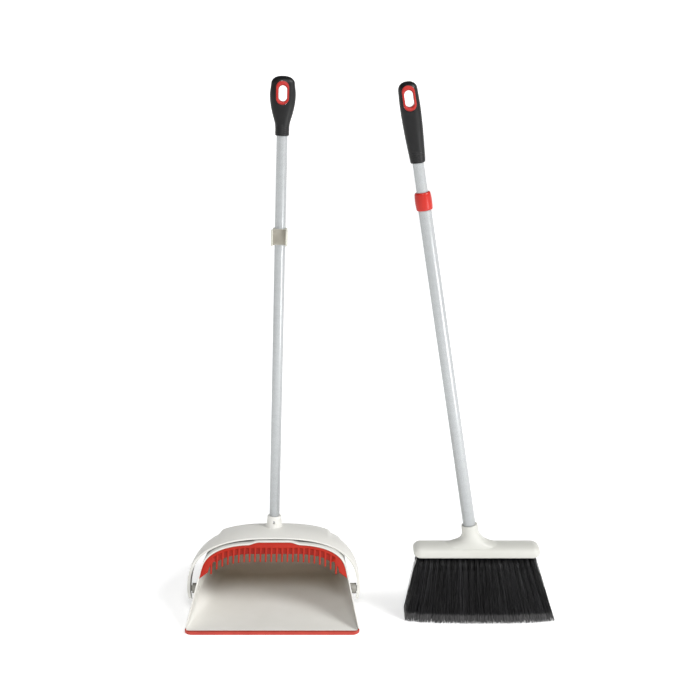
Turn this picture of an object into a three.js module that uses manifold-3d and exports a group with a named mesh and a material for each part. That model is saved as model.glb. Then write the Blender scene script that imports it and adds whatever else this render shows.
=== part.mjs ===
// Upright dustpan with a swinging yoke handle, and a long-handled broom with an extending pole.
// Millimetres, +Z up. The origin is on the floor under the pan; the pan's lip faces -Y and the
// broom stands beside it on +X.
import * as THREE from 'three';
import { mergeVertices } from 'three/addons/utils/BufferGeometryUtils.js';
import Module from 'manifold-3d';

const wasm = await Module();
wasm.setup();

// ---------- driving dimensions ----------
const GAP = 0.3; // clearance between pieces that touch
const CLEAR = 8; // how far a cutting tool reaches past the piece it cuts

const pan = {
  front: -134, back: 88, // floor edge at the mouth, start of the back fillet
  mouthRun: 1 / 1.23, // the mouth leans back this far per unit of height
  half: 156.4, taper: 0.09, lean: 0.196, // half width at the lip, loss per unit of y and of z
  hood: 124.8, hoodDrop: 18, dropFrom: -30, dropRun: 100, wall: 2.4,
  cornerRun: 93, cornerPower: 2.56, cornerShare: 0.3, // hood shoulder
  tabHalf: 28, tabRamp: 20, tabRise: 3.6, tabFrom: -5, tabEnd: 15, // raised middle of the hood's edge
  footFront: 5, footBack: 34, footFrom: -130, footEnd: 20, footLeast: 1.5, backFillet: 26,
  underHood: 110, wallShare: 0.7, // a height just under the hood, a wall point's share of the wall
};
const lip = { half: 154.9, front: -141, height: 6, corner: 14, inner: 7, wrap: 2.6 };
const comb = {
  thick: 3, band: 12, teeth: 24, pitch: 9.8, length: 18.5, root: 4.2, tip: 2.6, behind: 1.5, rise: 75,
};
const pivot = { y: -45, z: 42, bore: 5.3, pin: 5, washer: 9.6, recess: 0.4, short: 1 };
// The arms' side play lets the yoke rest a little to one side.
const yoke = {
  shift: -1.2, half: 157.4, power: 2.6, below: 19, tuck: 3, thick: [2.4, 4.5, 4], armThick: 5.5,
  dome: { half: 107, edge: 10, rise: 2.6, shoulder: 4.2 }, armLean: [0.485, 0.875],
  foot: { front: [-53, 46], middle: [-45, 42], rear: [-37, 38] },
  crown: { front: [-26.3, 132.6], middle: [7, 137], rear: [40, 130] },
};
const panPole = {
  x: -1.9, y: 20, z: 158, sideLean: 1.86, backLean: 3, radius: 9.5, wall: 1.2, socketDepth: 24, plug: 22,
};
const TUBE_SHORT = 5; // a tube ends this far below the end of its grip's bore
const socket = [[19, -25.5], [16.2, -22], [14.6, -18], [13.9, -12], [13.4, -6], [12.7, -1], [12.2, 0]];
const screw = { radius: 1.9, bore: 2.3, inner: 6.5, outer: 12.3, below: 9 };
const clip = {
  at: 520, height: 28, ring: 12.8, jaw: 11.4, jawOuter: 14.4, forward: 24, mouth: 72, reach: 30, web: 18,
};
// A grip's stops are heights above its foot, with its half width and half depth at each.
const panGrip = {
  at: 694, bore: 45, dome: 13, holeAt: 72.5, ring: [11, 20], hole: [7.3, 13.3], holeShift: -1,
  stops: [0, 20, 38, 52, 69, 88],
  widths: [12, 12.9, 17.8, 20.8, 22.3, 20.4],
  depths: [12, 12.3, 13, 13, 12.4, 11],
};
const head = {
  x: 364, y: -65, z: 119, half: 112.9, depth: 23.5, lower: 9.5, upper: 13.5, endRun: 14, endRound: 9,
  plate: { half: 106, depth: 17, thick: 7.4, corner: 8 }, neckX: 350.4, rimZ: 178, screwAt: 70,
};
// The neck's rings: distance below the rim, half width, half depth, share of the pole's lean.
const neck = [
  [0, 14, 14, 1], [2, 14.4, 14.4, 1], [10, 14.6, 14.4, 0.95], [16, 15.4, 14.8, 0.8], [21, 17.5, 15.6, 0.6],
  [26, 21.5, 16.8, 0.35], [30, 27, 18, 0.1], [34, 37, 19, 0], [38, 52, 19.5, 0], [41, 66, 19.5, 0],
];
const bristles = {
  rows: 4, top: [256.4, 471], bottom: [236.4, 507.4], depthTop: 33, depthBottom: 76, gap: 0.8, levels: 5,
};
const broomPole = {
  lean: 9, radius: 11.1, wall: 1, socketDepth: 34, end: 585, innerRadius: 9.45, innerStart: 95,
};
const collar = {
  at: 571, height: 30, lip: 3,
  outside: [[0, 13.1], [2, 13.7], [9, 14.2], [18, 14.3], [25, 13.9], [28.5, 13.1], [30, 12.2]],
};
const broomGrip = {
  at: 650, bore: 48, dome: 13.5, holeAt: 105, ring: [10.4, 20.4], hole: [7.1, 13.5], holeShift: -1,
  stops: [0, 32, 67, 97, 118],
  widths: [12.3, 14.6, 16.4, 16.7, 15.8],
  depths: [12.1, 13.4, 14.2, 13.6, 12.4],
};

// ---------- small helpers ----------
const { lerp, degToRad, smoothstep } = THREE.MathUtils;
const count = (n) => [...Array(n).keys()];
const point = (x, y, z) => new THREE.Vector3(x, y, z);

// Joins shared corners and turns the faces outwards.
function closed(geometry) {
  const bare = geometry.clone();
  bare.deleteAttribute('normal');
  bare.deleteAttribute('uv');
  const merged = mergeVertices(bare, 1e-3);
  const at = merged.attributes.position;
  const kept = [];
  let volume = 0;
  for (let i = 0; i < merged.index.count; i += 3) {
    const ids = [0, 1, 2].map((k) => merged.index.getX(i + k));
    if (new Set(ids).size < 3) continue;
    const [a, b, c] = ids.map((id) => new THREE.Vector3().fromBufferAttribute(at, id));
    volume += a.dot(b.cross(c));
    kept.push(ids);
  }
  merged.setIndex(kept.flatMap((ids) => (volume > 0 ? ids : [ids[0], ids[2], ids[1]])));
  return merged;
}

function toSolid(geometry) {
  const whole = closed(geometry);
  return new wasm.Manifold(new wasm.Mesh({
    numProp: 3,
    vertProperties: new Float32Array(whole.attributes.position.array),
    triVerts: new Uint32Array(whole.index.array),
  }));
}

function toGeometry(solid) {
  const mesh = solid.getMesh();
  const geometry = new THREE.BufferGeometry();
  geometry.setAttribute('position', new THREE.BufferAttribute(mesh.vertProperties, 3));
  geometry.setIndex(new THREE.BufferAttribute(mesh.triVerts, 1));
  return geometry;
}

const cut = (body, ...tools) => toGeometry(
  tools.reduce((left, tool) => left.subtract(toSolid(tool)), toSolid(body)));
const join = (...pieces) => toGeometry(pieces.map(toSolid).reduce((a, b) => a.add(b)));

// Skins a row of closed rings that have the same number of points, and caps both ends.
function loft(rings) {
  const n = rings[0].length;
  const positions = rings.flat().flatMap((p) => [p.x, p.y, p.z]);
  const faces = [];
  for (let r = 0; r < rings.length - 1; r += 1) {
    for (let i = 0; i < n; i += 1) {
      const [a, b] = [r * n + i, r * n + ((i + 1) % n)];
      faces.push(a, b, b + n, a, b + n, a + n);
    }
  }
  [[rings[0], 0], [rings.at(-1), (rings.length - 1) * n]].forEach(([ring, base], last) => {
    const centre = positions.length / 3;
    const middle = ring.reduce((sum, p) => sum.add(p), point(0, 0, 0)).divideScalar(n);
    positions.push(middle.x, middle.y, middle.z);
    for (let i = 0; i < n; i += 1) {
      const [a, b] = [base + i, base + ((i + 1) % n)];
      faces.push(...(last ? [a, b, centre] : [b, a, centre]));
    }
  });
  const geometry = new THREE.BufferGeometry();
  geometry.setAttribute('position', new THREE.Float32BufferAttribute(positions, 3));
  geometry.setIndex(faces);
  return geometry;
}

// Turns [radius, height] points about +Z.
function turned(profile, segments = 20) {
  return new THREE.LatheGeometry(profile.map(([r, z]) => new THREE.Vector2(r, z)), segments)
    .rotateX(Math.PI / 2);
}

const rod = (radius, low, high, segments = 20) => turned(
  [[0, low], [radius, low], [radius, high], [0, high]], segments);
const tube = (radius, wall, low, high) => turned([
  [radius, low], [radius, high], [radius - wall, high], [radius - wall, low], [radius, low]], 28);

// A solid bar with round ends across Y, for hang holes and their rings.
function stadium(halfWidth, halfHeight, depth, z, hole) {
  const outline = (w, h) => {
    const path = new THREE.Path();
    path.absarc(0, h - w, w, 0, Math.PI);
    path.absarc(0, w - h, w, Math.PI, 2 * Math.PI);
    return path.getPoints(7);
  };
  const shape = new THREE.Shape(outline(halfWidth, halfHeight));
  if (hole) shape.holes.push(new THREE.Path(outline(hole[0], hole[1]).map((p) => p.add(hole[2]))));
  return new THREE.ExtrudeGeometry(shape, { depth, bevelEnabled: false })
    .translate(0, 0, -depth / 2).rotateX(Math.PI / 2).translate(0, 0, z);
}

// ---------- the two poles' frames: origin at the socket's rim, +Z up the pole ----------
const panPoleFrame = new THREE.Matrix4().makeTranslation(panPole.x, panPole.y, panPole.z)
  .multiply(new THREE.Matrix4().makeRotationFromEuler(
    new THREE.Euler(degToRad(-panPole.backLean), degToRad(panPole.sideLean), 0)));
const broomFrame = new THREE.Matrix4().makeTranslation(head.neckX, head.y, head.rimZ)
  .multiply(new THREE.Matrix4().makeRotationY(degToRad(-broomPole.lean)));

// ---------- materials ----------
const paint = (color, roughness, metalness = 0) => new THREE.MeshStandardMaterial(
  { color, roughness, metalness });
const shellWhite = () => paint('#d9d9d5', 0.45);
const clipGrey = () => paint('#cecfc8', 0.5);
const pivotGrey = () => paint('#8d8c86', 0.5);
const softRed = () => paint('#c0381f', 0.6);
const collarRed = () => paint('#da3a30', 0.35);
const gripBlack = () => paint('#1b1b1b', 0.75);
const innerBlack = () => paint('#26272a', 0.6);
const aluminium = () => paint('#c9cccd', 0.35, 0.9);
const steel = () => paint('#9a9c9e', 0.35, 1);
const bristleBlack = () => paint('#222327', 0.8);

// ---------- the pan ----------
// Half width of the shell where the hood's shoulder has not started.
const panHalf = (y, z) => pan.half - pan.taper * (y - pan.front) - pan.lean * z;
const hoodHeight = (y) => pan.hood - pan.hoodDrop * Math.max(0, (y - pan.dropFrom) / pan.dropRun) ** 2;

// One ring of the shell on a plane y = start + run * z, moved in by an inset.
function panRing(start, run, inset) {
  const halfRing = [];
  const place = (x, z) => halfRing.push(point(x, start + run * z, z));
  const at = (z) => start + run * z;
  const grown = lerp(pan.footFront, pan.footBack, smoothstep(at(0), pan.footFrom, pan.footEnd));
  const foot = Math.max(grown - inset, pan.footLeast);
  const low = inset;
  const flat = panHalf(at(0), 0) - inset - foot;
  place(0, low);
  count(4).forEach((i) => {
    const turn = (i / 3) * (Math.PI / 2);
    const z = low + foot * (1 - Math.cos(turn));
    place(flat + foot * Math.sin(turn) - (pan.lean + pan.taper * run) * z, z);
  });
  const top = hoodHeight(at(pan.underHood)) - inset;
  const rise = pan.cornerShare * top;
  const shoulder = top - rise;
  const wallPoint = shoulder * pan.wallShare;
  place(panHalf(at(wallPoint), wallPoint) - inset, Math.max(wallPoint, low + foot + 1));
  count(7).forEach((i) => {
    const turn = (i / 7) * (Math.PI / 2);
    const z = shoulder + rise * Math.sin(turn) ** (2 / pan.cornerPower);
    const x0 = panHalf(at(z), z) - inset - pan.cornerRun;
    place(x0 + pan.cornerRun * Math.cos(turn) ** (2 / pan.cornerPower), z);
  });
  const lift = pan.tabRise * (1 - smoothstep(at(top), pan.tabFrom, pan.tabEnd));
  place(pan.tabHalf + pan.tabRamp, top);
  place(pan.tabHalf, top + lift);
  place(0, top + lift);
  const mirrored = halfRing.slice(1, -1).reverse().map((p) => point(-p.x, p.y, p.z));
  return [...halfRing, ...mirrored];
}

// The shell's skin at an inset: rings from the leaning mouth to the upright back, then a fillet.
function panSkin(inset, ahead) {
  const walls = count(8).map((i) => {
    const t = i / 7;
    return panRing(lerp(pan.front, pan.back, t), pan.mouthRun * (1 - t), inset);
  });
  const fillet = pan.backFillet - inset;
  const back = count(3).map((i) => {
    const turn = ((i + 1) / 3) * (Math.PI / 2);
    return panRing(pan.back + fillet * Math.sin(turn), 0, inset + fillet * (1 - Math.cos(turn)));
  });
  const mouth = ahead ? [panRing(pan.front - ahead, pan.mouthRun, inset)] : [];
  return loft([...mouth, ...walls, ...back]);
}

const pivotBore = (side) => onPivot(rod(pivot.bore, wallAtPivot() - CLEAR, yoke.half + CLEAR), side);

// A flat front edge with round corners, closed on either side of it by the rest of the outline.
function frontEdge(shape, half, front, corner, backwards) {
  const level = lip.front + lip.corner;
  const turns = [[-1, Math.PI, 1.5 * Math.PI], [1, 1.5 * Math.PI, 2 * Math.PI]];
  (backwards ? turns.reverse() : turns).forEach(([side, from, to]) => {
    const ends = backwards ? [to, from] : [from, to];
    shape.absarc(side * (half - corner), front + corner, corner, ...ends, backwards);
  });
  return shape.lineTo((backwards ? -1 : 1) * half, level);
}

const lipInside = (margin) => [lip.half - lip.wrap - margin, pan.front - GAP + margin, lip.inner];

// The room at the shell's front corners that the lip strip wraps into.
function lipRebate() {
  const [half, front, corner] = lipInside(GAP);
  const level = lip.front + lip.corner + GAP;
  const [side, ahead] = [pan.half + 2, lip.front - 2];
  const shape = new THREE.Shape();
  shape.moveTo(-side, level).lineTo(-side, ahead).lineTo(side, ahead).lineTo(side, level).lineTo(half, level);
  frontEdge(shape, half, front, corner, true).lineTo(-half, level);
  const depth = lip.height + GAP + 1;
  return new THREE.ExtrudeGeometry(shape, { depth, bevelEnabled: false, curveSegments: 3 })
    .translate(0, 0, -1);
}

const panShell = () => cut(
  panSkin(0, 0), panSkin(pan.wall, CLEAR), lipRebate(), pivotBore(1), pivotBore(-1));

// Soft strip round the front edge and its corners.
function lipStrip() {
  const level = lip.front + lip.corner;
  const shape = new THREE.Shape();
  frontEdge(shape.moveTo(-lip.half, level), lip.half, lip.front, lip.corner, false);
  frontEdge(shape.lineTo(lipInside(0)[0], level), ...lipInside(0), true);
  return new THREE.ExtrudeGeometry(shape, { depth: lip.height, bevelEnabled: false, curveSegments: 5 });
}

// The comb is a flat soft part on a plane parallel to the mouth: a band of one width that follows
// the hood's edge down into a pointed flap at each end, with a row of tapered teeth.
function combStrip() {
  const start = pan.front + comb.behind;
  const slope = Math.hypot(1, pan.mouthRun);
  const end = panHalf(start + pan.mouthRun * comb.rise, comb.rise) - pan.wall - GAP;
  const upper = panRing(start, pan.mouthRun, pan.wall + GAP).filter((p) => p.z > comb.rise);
  const edge = [point(-end, 0, comb.rise), ...upper, point(end, 0, comb.rise)]
    .map((p) => new THREE.Vector2(p.x, p.z * slope)).sort((a, b) => a.x - b.x);
  const right = edge.filter((p) => p.x >= pan.tabHalf + pan.tabRamp);
  const lower = right.map((p, i) => {
    const [a, b] = [right[Math.max(i - 1, 0)], right[Math.min(i + 1, right.length - 1)]];
    const outwards = new THREE.Vector2(a.y - b.y, b.x - a.x).normalize();
    return p.clone().addScaledVector(outwards, -comb.band);
  });
  const lowerAt = (x) => {
    const next = lower.findIndex((p) => p.x >= Math.abs(x));
    if (next < 1) return lower[0].y;
    const [a, b] = [lower[next - 1], lower[next]];
    return lerp(a.y, b.y, (Math.abs(x) - a.x) / (b.x - a.x));
  };
  const reach = ((comb.teeth - 1) / 2) * comb.pitch;
  const flap = lower.slice(0, -1).filter((p) => p.x > reach + comb.root);
  const teeth = count(comb.teeth).flatMap((i) => {
    const x = reach - i * comb.pitch;
    const [root, tip] = [lowerAt(x), lowerAt(x) - comb.length];
    return [[comb.root / 2, root], [comb.tip / 2, tip], [-comb.tip / 2, tip], [-comb.root / 2, root]]
      .map(([away, y]) => new THREE.Vector2(x + away, y));
  });
  const shape = new THREE.Shape([
    ...edge, ...[...flap].reverse(), ...teeth, ...flap.map((p) => new THREE.Vector2(-p.x, p.y))]);
  const flat = new THREE.ExtrudeGeometry(shape, { depth: comb.thick, bevelEnabled: false });
  const along = point(0, pan.mouthRun, 1).normalize();
  const basis = new THREE.Matrix4().makeBasis(point(1, 0, 0), along, point(0, -along.z, along.y));
  return flat.translate(0, 0, -comb.thick).applyMatrix4(basis).translate(0, start, 0);
}

const wallAtPivot = () => panHalf(pivot.y, pivot.z);

const onPivot = (geometry, side) => geometry
  .rotateY((Math.PI / 2) * side).translate(0, pivot.y, pivot.z);

// A stub pressed through the wall, the washer and the arm; its inner end stops short of the wall's face.
function pivotPin(side) {
  const outside = yoke.half - Math.abs(yoke.shift) - pivot.short;
  const whole = onPivot(rod(pivot.pin, wallAtPivot() - CLEAR, outside), side);
  return cut(whole, panSkin(pan.wall - pivot.recess, CLEAR));
}

// A washer whose inner face lies on the leaning wall.
function pivotWasher(side) {
  const tucked = yoke.tuck * (pivot.washer / yoke.below) ** 2;
  const outside = yoke.half - Math.abs(yoke.shift) - yoke.armThick - tucked - GAP;
  const [ring, from] = [pivot.washer, wallAtPivot() - CLEAR];
  return cut(onPivot(turned([
    [ring, from], [ring, outside], [pivot.bore, outside], [pivot.bore, from], [ring, from]]), side),
  panSkin(-GAP, CLEAR));
}

// ---------- the yoke ----------
// The crown's rear stands up as a shallow dome that ends in a step above each arm.
function domeLift(x, across) {
  const distance = Math.abs(yoke.half * x);
  const { half, edge, rise, shoulder } = yoke.dome;
  const step = 1 - smoothstep(distance, half - edge, half);
  return (rise + shoulder * (distance / half) ** 2) * step * ((across + 1) / 2) ** 1.5;
}

// A point of the yoke: turn runs over the arch from one foot to the other, across runs from the
// front edge (-1) to the rear edge (1), and below is how far it lies under the pivot.
function yokePoint(turn, across, inner, below = 0) {
  const cosine = Math.cos(turn);
  const x = Math.sign(cosine) * Math.abs(cosine) ** (2 / yoke.power);
  const rise = Math.abs(Math.sin(turn)) ** (2 / yoke.power);
  const [front, middle, rear] = ['front', 'middle', 'rear'].map((edge) => [0, 1].map(
    (k) => lerp(yoke.foot[edge][k], yoke.crown[edge][k], rise)));
  const [f, m, r] = [(across * across - across) / 2, 1 - across * across, (across * across + across) / 2];
  let [y, z] = [0, 1].map((k) => f * front[k] + m * middle[k] + r * rear[k]);
  const share = below / yoke.below;
  const narrow = Math.sqrt(Math.max(1 - share * share, 0.02));
  y = middle[0] + (y - middle[0]) * narrow - below * yoke.armLean[0];
  z = middle[1] + (z - middle[1]) * narrow - below * yoke.armLean[1];
  const crownThick = f * yoke.thick[0] + m * yoke.thick[1] + r * yoke.thick[2];
  const half = yoke.half - yoke.tuck * share * share - (inner ? yoke.armThick : 0);
  return point(yoke.shift + half * x, y, z + domeLift(x, across) - (inner ? crownThick * rise : 0));
}

function yokeRing(turn, below) {
  const steps = [-1, -0.6, 0, 0.6, 1];
  const outer = steps.map((across) => yokePoint(turn, across, false, below));
  const inner = steps.map((across) => yokePoint(turn, across, true, below)).reverse();
  return [...outer, ...inner];
}

function yokeArch() {
  const feet = [1, 0.93, 0.78, 0.55, 0.28].map((share) => share * yoke.below);
  const turns = count(37).map((i) => (i / 36) * Math.PI);
  const band = loft([
    ...feet.map((below) => yokeRing(0, below)),
    ...turns.map((turn) => yokeRing(turn, 0)),
    ...[...feet].reverse().map((below) => yokeRing(Math.PI, below)),
  ]);
  const base = socket[0][1];
  const sleeve = turned([[0, base], ...socket, [0, 0]]).applyMatrix4(panPoleFrame);
  const bore = rod(panPole.radius + GAP, -panPole.socketDepth, CLEAR, 28).applyMatrix4(panPoleFrame);
  return cut(join(band, sleeve), bore, screwHole(), pivotBore(1), pivotBore(-1));
}

// ---------- the dustpan's pole ----------
// A rod through the front of the socket, square to the pole.
const screwRod = (radius, from, to) => rod(radius, from, to, 16)
  .rotateX(Math.PI / 2).translate(0, 0, -screw.below).applyMatrix4(panPoleFrame);

const screwHole = () => screwRod(screw.bore, screw.inner - 1.5, screw.outer + 2 * CLEAR);
const poleScrew = () => screwRod(screw.radius, screw.inner, screw.outer);

function panPoleTube() {
  const low = GAP - panPole.socketDepth;
  const whole = tube(panPole.radius, panPole.wall, low, panGrip.at + panGrip.bore - TUBE_SHORT);
  return cut(whole.applyMatrix4(panPoleFrame), screwHole());
}

// A plug in the pole's foot, which the screw bites into.
function polePlug() {
  const low = 1 - panPole.socketDepth;
  const plug = rod(panPole.radius - panPole.wall - GAP, low, low + panPole.plug).applyMatrix4(panPoleFrame);
  return cut(plug, screwHole());
}

// A ring on the pole with a springy pair of jaws that open forwards.
function poleClip() {
  const low = clip.at - clip.height / 2;
  const high = clip.at + clip.height / 2;
  const jaw = (radius, from, to) => rod(radius, from, to, 28).translate(0, -clip.forward, 0);
  const web = new THREE.BoxGeometry(clip.web, clip.forward - 8, clip.height)
    .translate(0, -clip.forward / 2, clip.at);
  const spread = Math.tan(degToRad(clip.mouth)) * clip.reach;
  const mouth = new THREE.Shape([
    new THREE.Vector2(0, 0), new THREE.Vector2(-spread, -clip.reach),
    new THREE.Vector2(spread, -clip.reach)]);
  const wedge = new THREE.ExtrudeGeometry(mouth, { depth: clip.height + 4, bevelEnabled: false })
    .translate(0, -clip.forward, low - 2);
  return cut(join(rod(clip.ring, low, high, 28), jaw(clip.jawOuter, low, high), web),
    rod(panPole.radius + GAP, low - 2, high + 2, 28), jaw(clip.jaw, low - 2, high + 2), wedge)
    .applyMatrix4(panPoleFrame);
}

// ---------- grips ----------
// A soft handle whose width and depth follow a few stops, closed by a round dome.
function gripSkin(grip) {
  const curve = (values) => new THREE.SplineCurve(
    grip.stops.map((s, i) => new THREE.Vector2(s, values[i])));
  const [widths, depths] = [curve(grip.widths), curve(grip.depths)];
  const ring = (z, w, d) => count(20).map((i) => {
    const turn = (i / 20) * 2 * Math.PI;
    const soft = (v) => Math.sign(v) * Math.abs(v) ** 0.9;
    return point(w * soft(Math.cos(turn)), d * soft(Math.sin(turn)), z);
  });
  const sides = count(10).map((i) => {
    const [w, d] = [widths.getPoint(i / 9), depths.getPoint(i / 9)];
    return ring(grip.at + w.x, w.y, d.y);
  });
  const [lastWidth, lastDepth] = [grip.widths.at(-1), grip.depths.at(-1)];
  const dome = count(5).map((i) => {
    const turn = ((i + 1) / 5.2) * (Math.PI / 2);
    return ring(grip.at + grip.stops.at(-1) + grip.dome * Math.sin(turn),
      lastWidth * Math.cos(turn), lastDepth * Math.cos(turn));
  });
  return loft([...sides, ...dome]);
}

function gripSleeve(grip, poleRadius, frame) {
  return cut(gripSkin(grip),
    rod(poleRadius + GAP, grip.at - 2, grip.at + grip.bore, 28),
    stadium(grip.ring[0] + GAP, grip.ring[1] + GAP, 60, grip.at + grip.holeAt))
    .applyMatrix4(frame);
}

function gripEyelet(grip, frame) {
  const shift = new THREE.Vector2(0, grip.holeShift);
  return stadium(grip.ring[0], grip.ring[1], 2 * Math.min(...grip.depths.slice(-2)) + 1,
    grip.at + grip.holeAt, [...grip.hole, shift]).applyMatrix4(frame);
}

function gripCore(grip, radius, wall, frame) {
  const top = grip.at + grip.bore - GAP;
  return turned([
    [0, top - 42], [radius - wall - GAP, top - 42], [radius - wall - GAP, top - 4 - GAP],
    [radius, top - 4], [radius, top], [0, top]]).applyMatrix4(frame);
}

// ---------- the broom ----------
// A rounded bar lofted along X, with a crowned top and round ends.
function headBlock() {
  const soft = (v, power) => Math.sign(v) * Math.abs(v) ** power;
  const section = (x, inset) => count(20).map((i) => {
    const turn = (i / 20) * 2 * Math.PI;
    const [across, up] = [soft(Math.cos(turn), 0.8), Math.sin(turn)];
    const height = up > 0 ? (head.upper - inset) * up : (head.lower - inset) * soft(up, 0.45);
    return point(head.x + x, head.y + (head.depth - inset) * across, head.z + head.lower + height);
  });
  const bends = count(5).map((i) => degToRad(lerp(10, 90, i / 4)));
  const end = (side) => bends.map((bend) => section(
    side * (head.half - head.endRun * (1 - Math.cos(bend))), head.endRound * (1 - Math.sin(bend))));
  return loft([...end(-1), section(0, 0), ...end(1).reverse()]);
}

// The flared neck, whose rings turn from level to square with the pole.
function headNeck() {
  return loft(neck.map(([below, halfWidth, halfDepth, share]) => {
    const place = new THREE.Matrix4().makeRotationY(degToRad(-broomPole.lean * share))
      .setPosition(point(0, 0, -below).applyMatrix4(broomFrame));
    return count(24).map((i) => {
      const turn = (i / 24) * 2 * Math.PI;
      return point(halfWidth * Math.cos(turn), halfDepth * Math.sin(turn), 0).applyMatrix4(place);
    });
  }));
}

// A flat plate with round corners under the head, or the pocket that takes it.
function roundedPlate(margin, low, high) {
  const [w, d] = [head.plate.half + margin, head.plate.depth + margin];
  const r = head.plate.corner + margin;
  const shape = new THREE.Shape();
  [[1, -1, -0.5], [1, 1, 0], [-1, 1, 0.5], [-1, -1, 1]].forEach(([sx, sy, start]) => {
    shape.absarc(sx * (w - r), sy * (d - r), r, start * Math.PI, (start + 0.5) * Math.PI);
  });
  return new THREE.ExtrudeGeometry(shape, { depth: high - low, bevelEnabled: false, curveSegments: 5 })
    .translate(head.x, head.y, low);
}

const headPilot = [[0, 5], [1.8, 5], [1.8, 19], [0, 19]];
const headScrewHole = [[0, -1], [4.3, -1], [4.3, 3], [2.2, 3], [2.2, 9], [0, 9]];
const headScrewBody = [[0, 0.4], [4, 0.4], [4, 2.7], [1.5, 2.7], [1.5, 17], [0, 17]];
const headScrewAt = (side, profile) => turned(profile, 16)
  .translate(head.x + side * head.screwAt, head.y, head.z);

function headShell() {
  const pocket = roundedPlate(GAP, head.z - 5, head.z + head.plate.thick + GAP);
  const bore = rod(broomPole.radius + GAP, -broomPole.socketDepth, CLEAR, 28).applyMatrix4(broomFrame);
  const pilots = [-1, 1].map((side) => headScrewAt(side, headPilot));
  return cut(join(headBlock(), headNeck()), pocket, bore, ...pilots);
}

function tuftPlate() {
  const holes = [-1, 1].map((side) => headScrewAt(side, headScrewHole));
  return cut(roundedPlate(0, head.z, head.z + head.plate.thick), ...holes);
}

const headScrew = (side) => headScrewAt(side, headScrewBody);

// One row of tufts, fanned out towards the floor.
function bristleRow(row) {
  return loft(count(bristles.levels).map((i) => {
    const t = i / (bristles.levels - 1);
    const depth = lerp(bristles.depthTop, bristles.depthBottom, t);
    const pitch = depth / bristles.rows;
    const near = head.y - depth / 2 + row * pitch + bristles.gap / 2;
    const far = near + pitch - bristles.gap;
    const [left, right] = [0, 1].map((k) => lerp(bristles.top[k], bristles.bottom[k], t));
    const z = (head.z - GAP) * (1 - t);
    return [point(left, near, z), point(right, near, z), point(right, far, z), point(left, far, z)];
  }));
}

const outerTube = () => tube(broomPole.radius, broomPole.wall, GAP - broomPole.socketDepth, broomPole.end)
  .applyMatrix4(broomFrame);

const innerTube = () => tube(broomPole.innerRadius, broomPole.wall, broomPole.innerStart,
  broomGrip.at + broomGrip.bore - TUBE_SHORT).applyMatrix4(broomFrame);

// A plug with a collar that guides the inner tube inside the outer one.
function innerTubeBush() {
  const [spigot, flange] = [broomPole.innerRadius - broomPole.wall - GAP, broomPole.innerRadius + GAP];
  const under = broomPole.innerStart - GAP;
  return turned([
    [0, under - 10], [flange, under - 10], [flange, under], [spigot, under], [spigot, under + 16],
    [0, under + 16]]).applyMatrix4(broomFrame);
}

// A split ring round the inner tube, above the outer tube's end.
function collet() {
  const low = broomPole.end + GAP;
  const high = collar.at + collar.height - collar.lip - GAP;
  const [inner, outer] = [broomPole.innerRadius + GAP, broomPole.radius];
  const shape = new THREE.Shape();
  shape.absarc(0, 0, outer, degToRad(8), degToRad(352));
  shape.absarc(0, 0, inner, degToRad(352), degToRad(8), true);
  return new THREE.ExtrudeGeometry(shape, { depth: high - low, bevelEnabled: false, curveSegments: 14 })
    .translate(0, 0, low).applyMatrix4(broomFrame);
}

function twistCollar() {
  const outside = collar.outside.map(([z, r]) => [r, collar.at + z]);
  const [low, high] = [collar.at, collar.at + collar.height];
  const [wide, close] = [broomPole.radius + GAP, broomPole.innerRadius + GAP];
  return turned([
    ...outside, [close, high], [close, high - collar.lip], [wide, high - collar.lip], [wide, low],
    outside[0]], 28).applyMatrix4(broomFrame);
}

// ---------- assembly ----------
const dustpanAndBroom = new THREE.Group();

function add(group, name, geometry, material) {
  const mesh = new THREE.Mesh(closed(geometry), material);
  mesh.name = name;
  group.add(mesh);
}

const sides = [['left', -1], ['right', 1]];

function addPan() {
  const group = new THREE.Group();
  add(group, 'pan_shell', panShell(), shellWhite());
  add(group, 'pan_lip_strip', lipStrip(), softRed());
  add(group, 'bristle_comb', combStrip(), softRed());
  sides.forEach(([name, side]) => {
    add(group, `pivot_pin_${name}`, pivotPin(side), pivotGrey());
    add(group, `pivot_washer_${name}`, pivotWasher(side), pivotGrey());
  });
  dustpanAndBroom.add(group);
}

function addYoke() {
  const group = new THREE.Group();
  add(group, 'yoke', yokeArch(), shellWhite());
  add(group, 'pole_screw', poleScrew(), steel());
  add(group, 'dustpan_pole', panPoleTube(), aluminium());
  add(group, 'dustpan_pole_plug', polePlug(), innerBlack());
  add(group, 'pole_clip', poleClip(), clipGrey());
  const { radius, wall } = panPole;
  add(group, 'dustpan_grip_core', gripCore(panGrip, radius, wall, panPoleFrame), innerBlack());
  add(group, 'dustpan_grip', gripSleeve(panGrip, radius, panPoleFrame), gripBlack());
  add(group, 'dustpan_hang_ring', gripEyelet(panGrip, panPoleFrame), softRed());
  dustpanAndBroom.add(group);
}

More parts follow.
